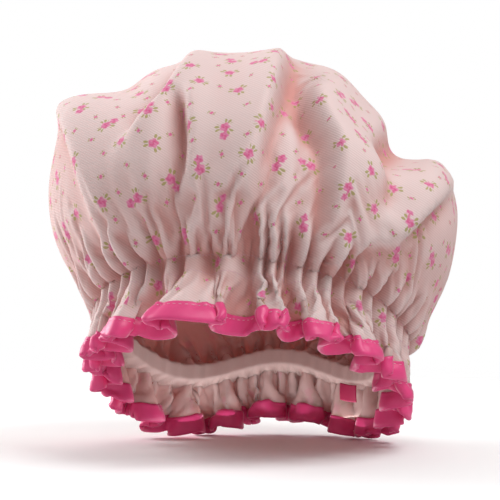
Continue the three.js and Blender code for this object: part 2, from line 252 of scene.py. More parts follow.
FOLD_LINES = [
    FoldLine([(-112, 140), (-98, 91), (-88, 64), (-76, 28)], 9, 14, 4, 14),
    FoldLine([(-36, 170), (-52, 152), (-68, 132)], 9, 15, -13, 10),
    FoldLine([(-43, 139), (-43, 122), (-44, 84), (-37, 56)], 8, 4, -14, -10),
    FoldLine([(-37, 140), (-34, 122), (-37, 84), (-29, 56)], 4, 11, 7, 7),
    FoldLine([(18, 173), (9, 144), (-1, 110), (-8, 78), (-13, 61)], 14, 6, 11, 11),
    FoldLine([(23, 157), (14, 124), (6, 88), (-1, 67)], 6, 9, -12, -12),
    FoldLine([(32, 157), (34, 124), (30, 82)], 10, 11, -11, -11),
    FoldLine([(20, 91), (19, 67)], 3, 3, 3, 3),
    FoldLine([(36, 142), (46, 121), (48, 106), (46, 83), (43, 52)], 7, 16, -17, 14),
    FoldLine([(110, 106), (100, 87), (91, 69), (83, 53)], 7, 8, 8, 8),
    FoldLine([(89, 118), (88, 100), (84, 82)], 7, 8, -10, -10),
    FoldLine([(107, 78), (85, 58), (66, 52), (47, 48)], 12, 8, 13, -15),
]
MOUNDS = [
    Mound(68, 106, 22, 6), Mound(78, 138, 30, -12), Mound(100, 119, 16, -26), Mound(116, 79, 20, 4),
    Mound(-112, 137, 18, 4), Mound(-80, 158, 18, -8), Mound(-67, 100, 18, 5), Mound(-13, 124, 18, 3),
]


def length(name, description, default):
    """A property that is a length in metres."""
    return bpy.props.FloatProperty(
        name=name, description=description, default=default, precision=4, unit="LENGTH",
        subtype="DISTANCE"
    )


def degrees(name, description, default):
    """A property that is an angle, given in degrees."""
    return bpy.props.FloatProperty(
        name=name, description=description, default=math.radians(default), unit="ROTATION",
        subtype="ANGLE"
    )


def watts(name, description, default):
    """A property that is the power of a lamp in watts."""
    return bpy.props.FloatProperty(
        name=name, description=description, default=default, min=0.0, unit="POWER"
    )


def count(name, description, default):
    """A property that is a whole number."""
    return bpy.props.IntProperty(name=name, description=description, default=default, min=1)


def factor(name, description, default):
    """A property that is a plain number."""
    return bpy.props.FloatProperty(name=name, description=description, default=default)


def colour(name, description, default):
    """A property that is a linear colour."""
    return bpy.props.FloatVectorProperty(
        name=name, description=description, default=default, size=3, min=0.0, max=1.0, subtype="COLOR"
    )


class BandProperties(bpy.types.PropertyGroup):
    """Sizes of the head opening and of the tunnel that holds the elastic."""

    width: length("Width", "Opening inside the band, from ear to ear", 0.158)
    depth: length("Length", "Opening inside the band, from brow to nape", 0.196)
    tilt: degrees("Tilt", "Slope of the opening, brow up", 25)
    nape_rise: length("Nape rise", "How far the band rises at the nape", 0.024)
    tunnel: length("Tunnel", "Height of the tunnel between its two rows of stitches", 0.012)
    standoff: length("Standoff", "From the head to the shell where a gather is deepest", 0.00465)
    gather: length("Gather", "Half the depth of a gather at the band", 0.0055)
    elastic_width: length("Elastic width", "Width of the elastic", 0.008)
    elastic_thickness: length("Elastic thickness", "Thickness of the elastic", 0.001)


class CrownProperties(bpy.types.PropertyGroup):
    """Sizes of the puffed crown."""

    top: bpy.props.FloatVectorProperty(
        name="Top", description="Middle of the round of cloth", default=(-0.014, 0.052, 0.172),
        unit="LENGTH", subtype="XYZ"
    )
    rise: length("Rise", "How far the crown rises as it swells out from the band", 0.040)
    brow_puff: length("Brow puff", "Swell at the brow", 0.036)
    left_puff: length("Right-ear puff", "Swell at the wearer's right ear", 0.056)
    right_puff: length("Left-ear puff", "Swell at the wearer's left ear", 0.062)
    nape_puff: length("Nape puff", "Swell at the nape", 0.084)
    brow_reach: length("Brow reach", "Reach of the flat top towards the brow", 0.150)
    left_reach: length("Right-ear reach", "Reach of the flat top towards the wearer's right ear", 0.140)
    right_reach: length("Left-ear reach", "Reach of the flat top towards the wearer's left ear", 0.128)
    nape_reach: length("Nape reach", "Reach of the flat top towards the nape", 0.092)
    back_fold: length("Back fold", "Height of the folds on the back of the crown", 0.005)
    pleat: length("Pleat", "Depth of the pleats just above the band", 0.004)
    relief: length("Relief", "Greatest height of the folds where they meet", 0.028)


class FrillProperties(bpy.types.PropertyGroup):
    """Sizes of the frill and of its binding."""

    depth: length("Depth", "From the tunnel to the hem", 0.034)
    brow_flare: length("Brow flare", "How far the frill stands out at the brow", 0.015)
    ear_flare: length("Ear flare", "How far the frill stands out elsewhere", -0.003)
    brow_ruffle: length("Brow ruffle", "Half the depth of a ruffle at the brow", 0.0135)
    ear_ruffle: length("Ear ruffle", "Half the depth of a ruffle elsewhere", 0.0075)
    sway: factor("Sway", "How far the sides of a ruffle fold back under its face, per pitch", 0.25)
    binding: length("Binding", "Width of the binding on each face", 0.011)
    label_drop: length("Label drop", "Height of the label", 0.011)
    label_width: length("Label width", "Width of the label", 0.018)


class ClothProperties(bpy.types.PropertyGroup):
    """Sizes of the round of cloth and of its simulation."""

    radius: length("Radius", "Radius of the round of cloth as cut", 0.292)
    shell_thickness: length("Shell", "Thickness of the shell", 0.0004)
    lining_thickness: length("Lining", "Thickness of the lining", 0.0003)
    tape_thickness: length("Tape", "Thickness of the binding, the casing and the label", 0.0004)
    gap: length("Gap", "Air between layers", 0.0003)
    thread: length("Thread", "Thickness of the sewing thread", 0.0004)
    stitch: length("Stitch", "Length of cloth from one stitch to the next", 0.0032)
    settle_rings: count("Settling rings", "Rings of the cloth while it settles", 60)
    rings: count("Rings", "Rings of the finished cloth", 108)
    frames: count("Frames", "Frames in which the cloth settles", 18)


class PrintProperties(bpy.types.PropertyGroup):
    """Sizes of the print, and the colours of all pieces."""

    rose_gap: length("Rose gap", "Least distance from one rose to the next", 0.0205)
    bud_gap: length("Bud gap", "Least distance from one bud to the next", 0.014)
    clear: length("Clear", "Least distance from a rose to a bud", 0.0115)
    rose: length("Rose", "Radius of a rose", 0.0034)
    bud: length("Bud", "Radius of a bud", 0.0015)
    rib: length("Rib", "From one rib of the twill to the next", 0.0013)
    ground: colour("Ground", "Colour of the cloth", (0.95, 0.875, 0.86))
    # Painted shade, not a colour of the cloth: it darkens the hollows of the folds and the lines between
    # the ribs.
    hollow: colour("Hollow", "Colour of the cloth in the hollows of its folds", (0.78, 0.43, 0.39))
    glow: colour("Glow", "Colour of the light that comes through the cloth", (0.95, 0.36, 0.31))
    petal: colour("Petal", "Main colour of a rose", (0.86, 0.15, 0.40))
    petal_light: colour("Light petal", "Colour of a rose's lit petals", (0.97, 0.44, 0.70))
    leaf: colour("Leaf", "Colour of a leaf", (0.45, 0.50, 0.14))
    lining: colour("Lining", "Colour of the lining", (0.96, 0.86, 0.84))
    lining_glow: colour("Lining glow", "Colour of light through the lining", (0.95, 0.85, 0.82))
    elastic: colour("Elastic", "Colour of the elastic", (0.88, 0.83, 0.82))
    casing: colour("Casing", "Colour of the casing", (0.82, 0.62, 0.58))
    satin: colour("Satin", "Colour of the binding", (0.80, 0.065, 0.24))
    label: colour("Label", "Colour of the label", (0.55, 0.03, 0.12))
    thread: colour("Thread", "Colour of the sewing thread", (0.90, 0.52, 0.62))


class StageProperties(bpy.types.PropertyGroup):
    """The camera, the light and the floor."""

    azimuth: degrees("Azimuth", "Camera's direction round the cap", 12)
    elevation: degrees("Elevation", "Camera's height above the horizon", 1)
    distance: length("Distance", "From the camera to the cap", 1.4)
    picture: length("Picture", "Width of the picture at the cap", 0.300)
    across: length("Across", "Middle of the picture, across", -0.0012)
    up: length("Up", "Middle of the picture, up", 0.0516)
    top_light: watts("Top light", "Power of the light above and behind", 2.2)
    right_light: watts("Right light", "Power of the light on the right", 11.2)
    under_light: watts("Under light", "Power of the light that the floor throws into the opening", 0.08)
    left_light: watts("Left light", "Power of the light on the left", 15.0)
    sky: factor("Sky", "Strength of the light all round", 0.41)


PROPERTY_GROUPS = {
    "cap_band": BandProperties,
    "cap_crown": CrownProperties,
    "cap_frill": FrillProperties,
    "cap_cloth": ClothProperties,
    "cap_print": PrintProperties,
    "cap_stage": StageProperties,
}


# Shape of the cap

def outward(turn):
    """Level directions away from the middle of the head."""
    return np.stack([np.sin(turn), -np.cos(turn), np.zeros_like(turn)], -1)


def along(turn):
    """Level directions round the head, towards the wearer's left ear at the brow."""
    return np.stack([np.cos(turn), np.sin(turn), np.zeros_like(turn)], -1)


def on_band(scene, turn, lift, axial):
    """Points on the band: lift is away from the head and axial along the head's tilted axis."""
    band = scene.cap_band
    half_width = band.width / 2 + lift
    half_depth = band.depth / 2 + lift
    nape = np.maximum(0, -np.cos(turn))
    across = half_width * np.sin(turn)
    back = -half_depth * np.cos(turn) * math.cos(band.tilt) + axial * math.sin(band.tilt)
    up = half_depth * np.cos(turn) * math.sin(band.tilt) + band.nape_rise * nape**NAPE_POWER
    up = up + axial * math.cos(band.tilt)
    return np.stack([across, back, up], -1)


def smoothstep(value, start, end):
    """Goes smoothly from 0 at start to 1 at end."""
    share = np.clip((value - start) / (end - start), 0, 1)
    return share * share * (3 - 2 * share)


def between(first, second, share):
    """What lies between two values, by the share of the second."""
    return first + (second - first) * share


def unit(vectors):
    """Vectors of length 1 in the same directions."""
    return vectors / np.maximum(np.linalg.norm(vectors, axis=1), 1e-12)[:, None]


def round_head(turn, brow, left, right, nape):
    """A size that changes smoothly from brow to ears to nape."""
    facing = np.cos(turn)
    ear = between(left, right, 0.5 + 0.5 * np.sin(turn))
    end = np.where(facing > 0, brow, nape)
    return between(ear, end, facing**2)


def on_dome(scene, turn, climb):
    """Points on the smooth crown, from the band at climb 0 to the top at climb 1."""
    band = scene.cap_band
    crown = scene.cap_crown
    away = outward(turn)
    top = np.array(crown.top)
    puff = round_head(turn, crown.brow_puff, crown.left_puff, crown.right_puff, crown.nape_puff)
    reach = round_head(turn, crown.brow_reach, crown.left_reach, crown.right_reach, crown.nape_reach)
    start = on_band(scene, turn, band.standoff + band.gather, band.tunnel / 2)
    swell = start + away * puff[:, None] + np.array([0, 0, crown.rise])
    shoulder = top + away * reach[:, None]
    share = climb[:, None]
    rest = 1 - share
    return rest**3 * start + 3 * rest**2 * share * swell + 3 * rest * share**2 * shoulder + share**3 * top


def even_climb(scene, turn, share):
    """Climbs that lie at even steps of cloth along the dome's curve."""
    steps = np.linspace(0, 1, DOME_STEPS + 1)
    travelled = [np.zeros_like(turn)]
    previous = on_dome(scene, turn, np.zeros_like(turn))
    for step in steps[1:]:
        point = on_dome(scene, turn, np.full_like(turn, step))
        travelled.append(travelled[-1] + np.linalg.norm(point - previous, axis=1))
        previous = point
    wanted = share * travelled[-1]
    climb = np.zeros_like(turn)
    for step, near, far in zip(steps[:-1], travelled[:-1], travelled[1:]):
        inside = (wanted >= near) & (wanted <= far)
        climb = np.where(inside, step + steps[1] * (wanted - near) / (far - near), climb)
    return climb


def dome_normals(scene, turn, climb):
    """Unit normals of the smooth crown."""
    step = 0.01
    round_way = on_dome(scene, turn + step, climb) - on_dome(scene, turn - step, climb)
    above = on_dome(scene, turn, np.minimum(climb + step, 1))
    below = on_dome(scene, turn, np.maximum(climb - step, 0))
    normal = np.cross(round_way, above - below)
    size = np.linalg.norm(normal, axis=1)
    normal[size < 1e-9] = (0, 0, 1)
    return unit(normal)


def fold_height(line, seen):
    """Height of one fold line at points seen by the camera, in millimetres."""
    nearest = np.full(len(seen), np.inf)
    offset = np.zeros(len(seen))
    points = np.array(line.points, float)
    for start, end in zip(points[:-1], points[1:]):
        run = end - start
        share = np.clip(((seen - start) @ run) / (run @ run), 0, 1)
        gap = seen - (start + share[:, None] * run)
        distance = np.linalg.norm(gap, axis=1)
        beside = (run[0] * gap[:, 1] - run[1] * gap[:, 0]) / np.linalg.norm(run)
        closer = distance < nearest
        nearest = np.where(closer, distance, nearest)
        offset = np.where(closer, beside, offset)
    blend = 0.5 + 0.5 * np.tanh(offset / CREASE)
    height = between(line.left_height, line.right_height, blend)
    width = between(line.left_width, line.right_width, blend)
    return height * np.exp(-((nearest / width) ** FOLD_POWER))


def view_axes(stage):
    """Level directions towards the camera and to its right."""
    toward = np.array([math.sin(stage.azimuth), -math.cos(stage.azimuth), 0])
    return toward, np.array([math.cos(stage.azimuth), math.sin(stage.azimuth), 0])


def crown_folds(scene, point, normal, climb):
    """Height of the front's folds as the camera sees them, limited where they meet."""
    stage = scene.cap_stage
    toward, sideways = view_axes(stage)
    zoom = stage.distance / (stage.distance - point @ toward)
    seen = np.stack([(point @ sideways) * zoom, (point[:, 2] - stage.up) * zoom + stage.up], -1) / MM
    facing = normal @ toward
    height = sum(fold_height(line, seen) for line in FOLD_LINES) * smoothstep(facing, *LINE_FACING)
    for mound in MOUNDS:
        distance = np.hypot(seen[:, 0] - mound.across, seen[:, 1] - mound.up)
        swell = mound.height * np.exp(-((distance / mound.radius) ** 2))
        height += swell * smoothstep(facing, *MOUND_FACING)
    limit = scene.cap_crown.relief
    return limit * np.tanh(height * MM / limit) * (1 - smoothstep(climb, *TOP_FADE))


def back_folds(scene, turn, share, normal):
    """Height of the plainer folds on the back of the crown."""
    toward, _ = view_axes(scene.cap_stage)
    behind = 1 - smoothstep(normal @ toward, *BACK_FACING)
    fade = share * (1 - share) ** 2 * PEAK
    wave = sum(
        strength * np.sin(number * turn + start + wander * np.sin(often * turn))
        for number, strength, start, wander, often in BACK_WAVES
    )
    return scene.cap_crown.back_fold * wave * fade * behind


@dataclass
class Pleats:
    """What the ruffles ask of each point of the cloth, from its angle on the round."""

    turn: np.ndarray
    pitch: np.ndarray
    depth: np.ndarray
    face: np.ndarray
    double: np.ndarray
    gather: np.ndarray


def pleats_at(angle):
    """Reads the ruffles at angles on the round of cloth."""
    table = np.array(RUFFLES, float)
    starts = np.radians(np.append(table[:, 0], table[0, 0] + 360))
    turn = starts[0] + np.mod(angle, FULL_TURN)
    index = np.clip(np.searchsorted(starts, turn, side="right") - 1, 0, len(table) - 1)
    pitch = starts[index + 1] - starts[index]
    share = (turn - starts[index]) / pitch
    here = table[index, 1]
    beside = np.where(share < 0.5, table[index - 1, 1], table[(index + 1) % len(table), 1])
    depth = between(here, beside, np.abs(share - 0.5))
    wave = FACE_SHARE - np.cos(FULL_TURN * share)
    double = np.sin(2 * FULL_TURN * share)
    flat_face = np.tanh(FACE_FLATNESS * wave)
    side = CREASE_PLACE + CREASE_WANDER * np.sin(CREASE_WAVES * angle)
    valley = np.exp(-((np.minimum(share, 1 - share) / VALLEY_WIDTH) ** 2))
    crease = np.exp(-(((share - side) / CREASE_WIDTH) ** 2))
    crease = crease + np.exp(-(((share - side - CREASE_STEP) / CREASE_WIDTH) ** 2))
    gather = np.clip(1 - VALLEY_DEPTH * valley - CREASE_DEPTH * crease, -1, 1)
    return Pleats(turn, pitch, depth, flat_face, double, gather)


def placed_cloth(scene, angle, reach):
    """The round of cloth gathered on the band and puffed up, before it settles."""
    band = scene.cap_band
    frill = scene.cap_frill
    crown_length = crown_cloth(scene)
    pleats = pleats_at(angle)
    share = np.clip(1 - reach / crown_length, 0, 1)
    turn = pleats.turn
    climb = even_climb(scene, turn, share)
    dome = on_dome(scene, turn, climb)
    normal = dome_normals(scene, turn, climb)
    low = 1 - share
    height = crown_folds(scene, dome, normal, climb) * (1 - low**FADE_POWER)
    height = height + back_folds(scene, turn, share, normal)
    brow = np.clip(np.cos(turn), 0, 1) ** 2
    height = height + band.gather * pleats.gather * low ** (GATHER_FADE - BROW_GATHER * brow)
    foot = PLEAT_START - BROW_PLEAT * brow
    rise = np.clip((low - foot) / (1 - foot), 0, 1)
    height = height + scene.cap_crown.pleat * pleats.gather * rise**2 * (1 - rise) * PEAK
    crown = dome + normal * height[:, None]
    lift = band.standoff + band.gather * (1 + pleats.gather)
    past = np.clip(reach - crown_length, 0, None)
    tunnel = on_band(scene, turn, lift, band.tunnel / 2 - np.clip(past, 0, band.tunnel))
    hang = np.clip(past - band.tunnel, 0, None)
    part = hang / frill.depth
    flare = between(frill.ear_flare, frill.brow_flare, brow)
    ruffle = between(frill.ear_ruffle, frill.brow_ruffle, brow)
    stand = flare + ruffle * pleats.face * pleats.depth
    least = LEAST_DROP * frill.depth
    swing = np.sqrt(np.maximum(frill.depth**2 - stand**2, least**2))
    drop = between(swing, LEVEL_DROP * frill.depth, LEVEL_HEM)
    sway = frill.sway * pleats.pitch * band.width / 2 * pleats.double
    skirt = outward(turn) * stand[:, None] + along(turn) * sway[:, None]
    skirt[:, 2] -= drop
    skirt = on_band(scene, turn, lift, -band.tunnel / 2) + skirt * part[:, None]
    return np.where((past > band.tunnel)[:, None], skirt, np.where((past > 0)[:, None], tunnel, crown))


def crown_cloth(scene):
    """Length of cloth from the middle of the round to the tunnel."""
    return scene.cap_cloth.radius - scene.cap_frill.depth - scene.cap_band.tunnel


# The round of cloth as a grid

def square_to_round(square):
    """Angle and ring of points on the square from -1 to 1, whose nested squares are the cloth's rings."""
    across, up = square[:, 0], square[:, 1]
    ring = np.maximum(np.abs(across), np.abs(up))
    safe = np.maximum(ring, 1e-9)
    eighth = FULL_TURN / 8
    wide = np.abs(across) >= np.abs(up)
    angle = np.where(wide & (across > 0), eighth * up / safe, 0)
    angle = np.where(~wide & (up > 0), 2 * eighth - eighth * across / safe, angle)
    angle = np.where(wide & (across <= 0), 4 * eighth - eighth * up / safe, angle)
    angle = np.where(~wide & (up <= 0), 6 * eighth + eighth * across / safe, angle)
    return np.mod(angle, FULL_TURN), ring


def round_to_square(angle, ring):
    """The way back from angle and ring to the square."""
    eighth = FULL_TURN / 8
    side = np.floor(np.mod(angle + eighth, FULL_TURN) / (2 * eighth)).astype(int) % 4
    slide = (np.mod(angle + eighth, 2 * eighth) - eighth) / eighth * ring
    across = np.choose(side, [ring, -slide, -ring, slide])
    up = np.choose(side, [slide, ring, -slide, -ring])
    return np.stack([across, up], -1)


class Cloth:
    """The settled round of cloth, which can be asked for points and normals anywhere on it."""

    def __init__(self, points):
        self.half = (points.shape[0] - 1) // 2
        self.points = np.pad(points, ((2, 2), (2, 2), (0, 0)), mode="reflect", reflect_type="odd")

    def sample(self, square):
        """Smooth points at places on the square from -1 to 1."""
        place = square * self.half + self.half + 2
        corner = np.clip(np.floor(place).astype(int), 1, self.points.shape[0] - 3)
        share = place - corner
        total = np.zeros((len(square), 3))
        for row, weight_row in enumerate(self.weights(share[:, 0])):
            for column, weight_column in enumerate(self.weights(share[:, 1])):
                found = self.points[corner[:, 0] + row - 1, corner[:, 1] + column - 1]
                total += found * (weight_row * weight_column)[:, None]
        return total

    @staticmethod
    def weights(share):
        """Weights of a smooth curve through four points in a row."""
        square, cube = share**2, share**3
        return [
            -0.5 * share + square - 0.5 * cube,
            1 - 2.5 * square + 1.5 * cube,
            0.5 * share + 2 * square - 1.5 * cube,
            -0.5 * square + 0.5 * cube,
        ]

    def at(self, angle, ring, lift=0.0):
        """Points at angles and rings of the round, raised by lift from the middle of the cloth."""
        return self.raised(round_to_square(angle, ring), lift)

    def raised(self, square, lift):
        """Points at places on the square, raised by lift along the normal."""
        step = SLOPE_STEP / self.half
        right, up = np.array([step, 0]), np.array([0, step])
        across = self.sample(square + right) - self.sample(square - right)
        upward = self.sample(square + up) - self.sample(square - up)
        normal = unit(np.cross(across, upward))
        return self.sample(square) + normal * np.broadcast_to(lift, len(square))[:, None]


def to_mesh(bm, name):
    """Ends a bmesh as a new mesh."""
    mesh = bpy.data.meshes.new(name)
    bm.to_mesh(mesh)
    bm.free()
    return mesh


def square_mesh(name, rings):
    """A square grid of faces, and its points on the square from -1 to 1."""
    bm = bmesh.new()
    bmesh.ops.create_grid(bm, x_segments=2 * rings, y_segments=2 * rings, size=1.0)
    mesh = to_mesh(bm, name)
    return mesh, mesh_points(mesh)[:, :2]


def read_rows(items, field, size=3):
    """Reads a field of many items as rows of numbers."""
    values = np.empty(size * len(items))
    items.foreach_get(field, values)
    return values.reshape(-1, size)


def mesh_points(mesh):
    """The points of a mesh."""
    return read_rows(mesh.vertices, "co")


def mesh_normals(mesh):
    """The normals at the points of a mesh."""
    return read_rows(mesh.vertex_normals, "vector")


def move_points(mesh, points):
    """Moves the points of a mesh."""
    mesh.vertices.foreach_set("co", np.ascontiguousarray(points).ravel())
    mesh.update()


def store(mesh, name, kind, values):
    """Stores values at the points of a mesh as an attribute."""
    field = "value" if kind == "FLOAT" else "vector"
    data = mesh.attributes.new(name, kind, "POINT").data
    data.foreach_set(field, np.ascontiguousarray(values).ravel())


def add_object(scene, name, data):
    """Puts a new object in the scene."""
    added = bpy.data.objects.new(name, data)
    scene.collection.objects.link(added)
    return added


def grid_place(square):
    """Row and column of each point of a square mesh."""
    side = math.isqrt(len(square))
    index = np.rint((square + 1) / 2 * (side - 1)).astype(int)
    return index[:, 0], index[:, 1]


def grid_of(square, values):
    """Sorts what belongs to the points of a square mesh into rows and columns."""
    side = math.isqrt(len(square))
    grid = np.empty((side, side, values.shape[1]))
    grid[grid_place(square)] = values
    return grid


def settle(scene, mesh, square, placed):
    """Lets the placed cloth settle: the band holds it, and its own length makes the gathers."""
    cloth = scene.cap_cloth
    band = scene.cap_band
    angle, ring = square_to_round(square)
    reach = ring * cloth.radius
    cut = np.stack([reach * np.cos(angle), reach * np.sin(angle), np.zeros_like(reach)], -1)
    move_points(mesh, placed)
    piece = add_object(scene, "settling", mesh)
    piece.shape_key_add(name="Basis")
    key = piece.shape_key_add(name="cut")
    key.data.foreach_set("co", cut.ravel())
    tolerance = MM
    crown_length = crown_cloth(scene)
    on_tunnel = (reach > crown_length - tolerance) & (reach < crown_length + band.tunnel + tolerance)
    crown_hold = CROWN_HOLD * np.clip((HOLD_END - reach / crown_length) / HOLD_GROWTH, 0, 1)
    frill_hold = FRILL_HOLD * (reach > crown_length + band.tunnel)
    hold = np.where(on_tunnel, 1.0, np.maximum(crown_hold, frill_hold))
    group = piece.vertex_groups.new(name="held")
    for index, weight in enumerate(hold):
        group.add([index], float(weight), "REPLACE")
    modifier = piece.modifiers.new("settle", "CLOTH")
    for name, value in CLOTH_SETTINGS.items():
        setattr(modifier.settings, name, value)
    modifier.settings.vertex_group_mass = group.name
    modifier.settings.rest_shape_key = key
    modifier.settings.effector_weights.gravity = SETTLING_GRAVITY
    for name, value in CONTACT_SETTINGS.items():
        setattr(modifier.collision_settings, name, value)
    modifier.point_cache.frame_end = cloth.frames + 1
    for number in range(1, cloth.frames + 2):
        scene.frame_set(number)
    evaluated = piece.evaluated_get(bpy.context.evaluated_depsgraph_get())
    settled = bpy.data.meshes.new_from_object(evaluated)
    points = mesh_points(settled)
    bpy.data.objects.remove(piece)
    bpy.data.meshes.remove(settled)
    scene.frame_set(1)
    return points


def gathered_cloth(scene):
    """The finished shape of the cloth, as a Cloth."""
    mesh, square = square_mesh("settling", scene.cap_cloth.settle_rings)
    angle, ring = square_to_round(square)
    points = placed_cloth(scene, angle, ring * scene.cap_cloth.radius)
    points = settle(scene, mesh, square, points)
    bpy.data.meshes.remove(mesh)
    return Cloth(grid_of(square, points))


def made_cloth():
    """The cloth of the shell that has been made."""
    shell = bpy.data.objects.get(SHELL)
    if shell is None:
        raise RuntimeError("The shell has to be made first")
    return Cloth(grid_of(square_of(shell.data), mesh_points(shell.data)))


# Pieces

def add_piece(scene, mesh, node, material, thickness=None):
    """Puts a mesh in the scene as the piece for a CAD node, and gives a sheet its thickness."""
    mesh.polygons.foreach_set("use_smooth", [True] * len(mesh.polygons))
    mesh.materials.append(material)
    piece = add_object(scene, mesh.name, mesh)
    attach(piece, BODY)
    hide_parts(node)
    if thickness is not None:
        modifier = piece.modifiers.new("thickness", "SOLIDIFY")
        modifier.thickness = thickness
        modifier.offset = 0


def round_mesh(scene, name, cloth, lift, hem_ring):
    """A round of cloth, at a lift from the shell's middle and up to a ring. Its UV map is its cut."""
    mesh, square = square_mesh(name, scene.cap_cloth.rings)
    store(mesh, "square", "FLOAT2", square)
    angle, ring = square_to_round(square)
    move_points(mesh, cloth.at(angle, ring * hem_ring, lift))
    reach = ring * hem_ring * scene.cap_cloth.radius
    cut = np.stack([reach * np.cos(angle), reach * np.sin(angle)], -1)
    corners = np.empty(len(mesh.loops), dtype=np.int64)
    mesh.loops.foreach_get("vertex_index", corners)
    mesh.uv_layers.new(name="cut").data.foreach_set("uv", cut[corners].ravel())
    return mesh


def square_of(mesh):
    """Where the points of a round of cloth lie on the square from -1 to 1."""
    return read_rows(mesh.attributes["square"].data, "vector", 2)


def mark_painted_shade(mesh):
    """Stores how far each point of the shell lies below the evened-out cloth, in metres, less on top: the
    mask of the painted shade in the folds, and of paler painted light on top.
    """
    square = square_of(mesh)
    points = mesh_points(mesh)
    even = grid_of(square, points)
    for _ in range(HOLLOW_STEPS):
        wide = np.pad(even, ((1, 1), (1, 1), (0, 0)), mode="edge")
        even = (wide[:-2, 1:-1] + wide[2:, 1:-1] + wide[1:-1, :-2] + wide[1:-1, 2:]) / 4
    normals = mesh_normals(mesh)
    depth = np.sum((even[grid_place(square)] - points) * normals, axis=1)
    # Painted light: cloth that faces up counts as less deep, so it is painted paler as if lit from above.
    depth -= PAINTED_TOP_LIGHT * np.maximum(normals[:, 2], 0)
    store(mesh, "hollow", "FLOAT", depth)


def mark_ribs(mesh):
    """Stores how plainly each point of the shell shows ribs, less where it faces along their slope."""
    along_slope = mesh_normals(mesh) @ np.array(RIB_SLOPE)
    store(mesh, "ribbed", "FLOAT", 1 - along_slope**2)


def strip_mesh(name, faces, place, size, closed):
    """A strip put in place by a function of two shares from 0 to 1. Its UV map has its flat size."""
    bm = bmesh.new()
    bmesh.ops.create_grid(bm, x_segments=faces[0], y_segments=faces[1], size=0.5)
    bm.verts.ensure_lookup_table()
    shares = np.array([(vert.co.x + 0.5, vert.co.y + 0.5) for vert in bm.verts])
    points = place(shares[:, 0], shares[:, 1])
    flat = bm.loops.layers.uv.new("flat")
    for face in bm.faces:
        for loop in face.loops:
            loop[flat].uv = shares[loop.vert.index] * size
    for vert, point in zip(bm.verts, points):
        vert.co = point
    if closed:
        bmesh.ops.remove_doubles(bm, verts=bm.verts, dist=1e-6)
    return to_mesh(bm, name)


def stitch_mesh(name, starts, ends, above, thickness):
    """A row of single stitches, each a rounded length of thread, with points above their starts."""
    bm = bmesh.new()
    for start, end, over in zip(starts, ends, above):
        run = Vector(end) - Vector(start)
        sideways = (Vector(over) - Vector(start)).cross(run).normalized()
        middle = Matrix.Translation((Vector(start) + Vector(end)) / 2)
        axes = (run.normalized(), sideways, run.normalized().cross(sideways))
        size = Matrix.Diagonal((run.length / 2, thickness / 2, thickness / 2, 1))
        place = middle @ Matrix(axes).transposed().to_4x4() @ size
        bmesh.ops.create_icosphere(bm, subdivisions=1, radius=1, matrix=place)
    return to_mesh(bm, name)


def stitch_row(scene, name, cloth, reach, lift):
    """Stitches along a ring of the cloth."""
    sizes = scene.cap_cloth
    number = round(FULL_TURN * reach / sizes.stitch)
    first = np.arange(number) / number * FULL_TURN
    shown = STITCH_SHARE * FULL_TURN / number
    ring = np.full(number, reach / sizes.radius)
    starts = cloth.at(first, ring, lift)
    ends = cloth.at(first + shown, ring, lift)
    above = cloth.at(first, ring, lift + MM)
    return stitch_mesh(name, starts, ends, above, sizes.thread)


# Print

@dataclass
class Motifs:
    """Printed motifs: their middles on the cloth, the way each is turned, and its random number."""

    middle: np.ndarray
    normal: np.ndarray
    right: np.ndarray
    above: np.ndarray
    chance: np.ndarray


def scattered(points, normals, gap, seed, others, clear):
    """Motifs at points picked at random, a gap apart and clear of other motifs."""
    rng = np.random.default_rng(seed)
    taken = np.empty((0, 3)) if others is None else others.middle
    limits = np.full(len(taken), clear)
    chosen = []
    for index in rng.permutation(len(points)):
        if np.all(np.linalg.norm(taken - points[index], axis=1) > limits):
            chosen.append(index)
            taken = np.vstack([taken, points[index]])
            limits = np.append(limits, gap)
    normal = normals[chosen]
    right = unit(np.cross(normal, rng.normal(size=normal.shape)))
    return Motifs(points[chosen], normal, right, np.cross(normal, right), rng.random(len(chosen)))


def stamp(mesh, name, motifs):
    """Stores each point's place in the nearest motif, its distance and the motif's random number."""
    points = mesh_points(mesh)
    normals = mesh_normals(mesh)
    nearest = np.empty(len(points), dtype=int)
    for rows in np.array_split(np.arange(len(points)), MATCH_GOES):
        gap = np.linalg.norm(points[rows, None] - motifs.middle[None], axis=2)
        turned_away = normals[rows] @ motifs.normal.T < SAME_SIDE
        nearest[rows] = np.argmin(gap + turned_away, axis=1)
    offset = points - motifs.middle[nearest]
    across = np.sum(offset * motifs.right[nearest], axis=1)
    up = np.sum(offset * motifs.above[nearest], axis=1)
    store(mesh, name, "FLOAT_VECTOR", np.stack([across, up, np.linalg.norm(offset, axis=1)], -1))
    store(mesh, name + "_chance", "FLOAT", motifs.chance[nearest])


def print_motifs(scene, mesh):
    """The roses and the buds of the print, scattered over a mesh."""
    sizes = scene.cap_print
    points = mesh_points(mesh)
    normals = mesh_normals(mesh)
    roses = scattered(points, normals, sizes.rose_gap, ROSE_SEED, others=None, clear=0.0)
    buds = scattered(points, normals, sizes.bud_gap, BUD_SEED, roses, sizes.clear)
    paired = roses.chance > LONE_ROSES
    beside = roses.right[paired]
    mates = Motifs(
        roses.middle[paired] + beside * sizes.rose * PAIR_STEP, roses.normal[paired], beside,
        roses.above[paired], roses.chance[paired],
    )
    return {"rose": roses, "mate": mates, "bud": buds}


# Materials

